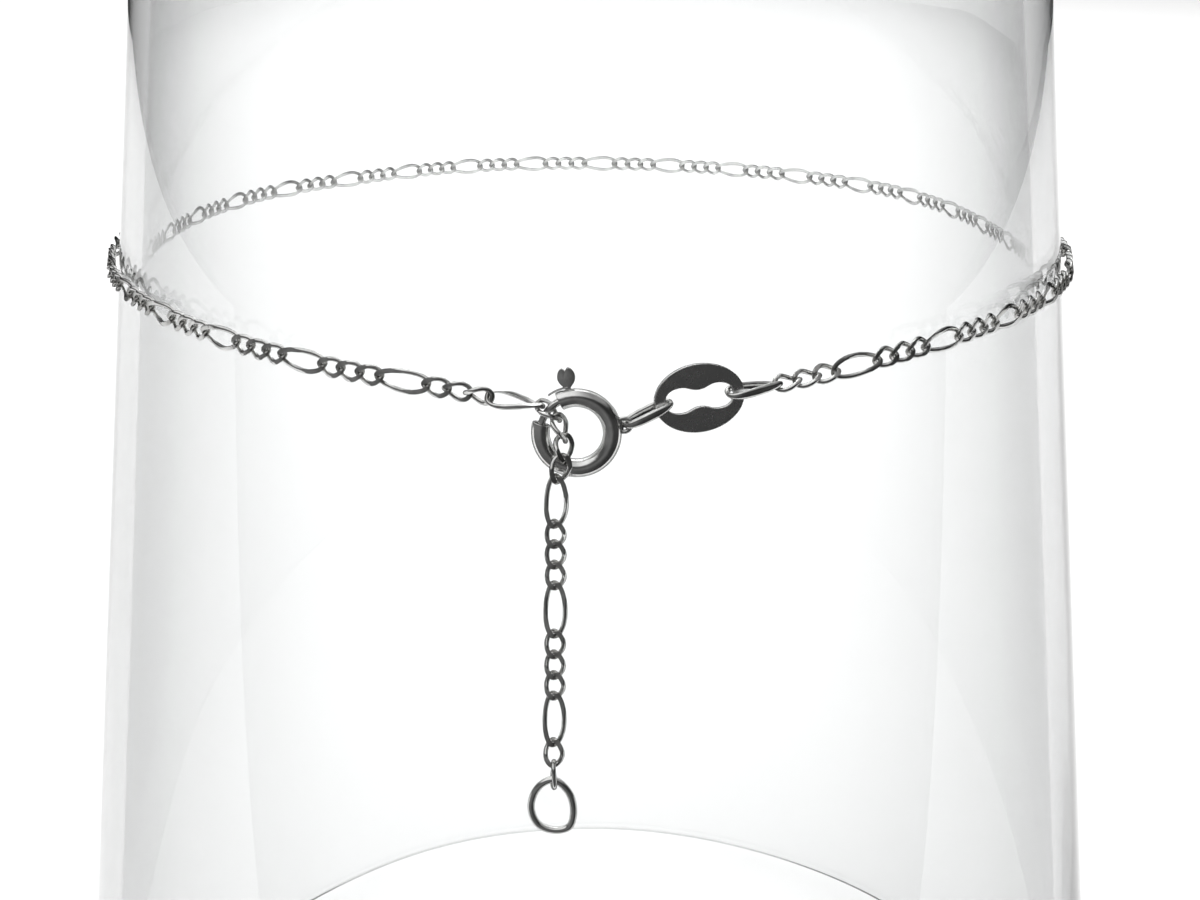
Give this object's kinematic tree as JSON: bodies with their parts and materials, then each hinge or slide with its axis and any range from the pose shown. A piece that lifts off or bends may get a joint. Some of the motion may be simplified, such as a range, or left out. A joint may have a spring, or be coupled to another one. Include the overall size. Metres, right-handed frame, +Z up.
{
  "type": "payal anklet on glass display tumbler",
  "caption": "Fine silver figaro-chain anklet with spring-ring clasp, oval tag and hanging extender, fastened round a plain clear upturned glass.",
  "frame": {"origin": "centre of the glass's rim, on the surface it stands on", "axes": "+Z up along the glass, -Y to the front where the clasp is, +X to the right"},
  "size_m": [0.0926, 0.0926, 0.145],
  "materials": {
    "clear_glass": "clear, polished, smooth",
    "polished_silver": "polished sterling silver with fine handling marks and a little tarnish in the crevices",
    "satin_silver": "blank satin sterling silver with polished cut edges"
  },
  "bodies": {
    "root": {"glass_tumbler": "clear_glass", "chain_loop": "polished_silver", "chain_end_link": "polished_silver", "tag_link": "polished_silver", "oval_tag": "satin_silver", "connecting_link": "polished_silver", "clasp_ring": "polished_silver", "hooked_link": "polished_silver", "drop_link_1": "polished_silver", "drop_link_2": "polished_silver", "drop_link_3": "polished_silver", "extender_chain": "polished_silver", "end_link": "polished_silver", "end_ring": "polished_silver"},
    "bolt": {"clasp_bolt": "polished_silver"}
  },
  "joints": [
    {"name": "bolt_slide_round", "type": "hinge", "parent": "root", "child": "bolt", "pos_m": [-0.00084, -0.03706, 0.08026], "axis": [0.0225, 0.9918, -0.1259], "range_deg": [0, 55], "stiffness_Nm_per_rad": 0.002}
  ]
}
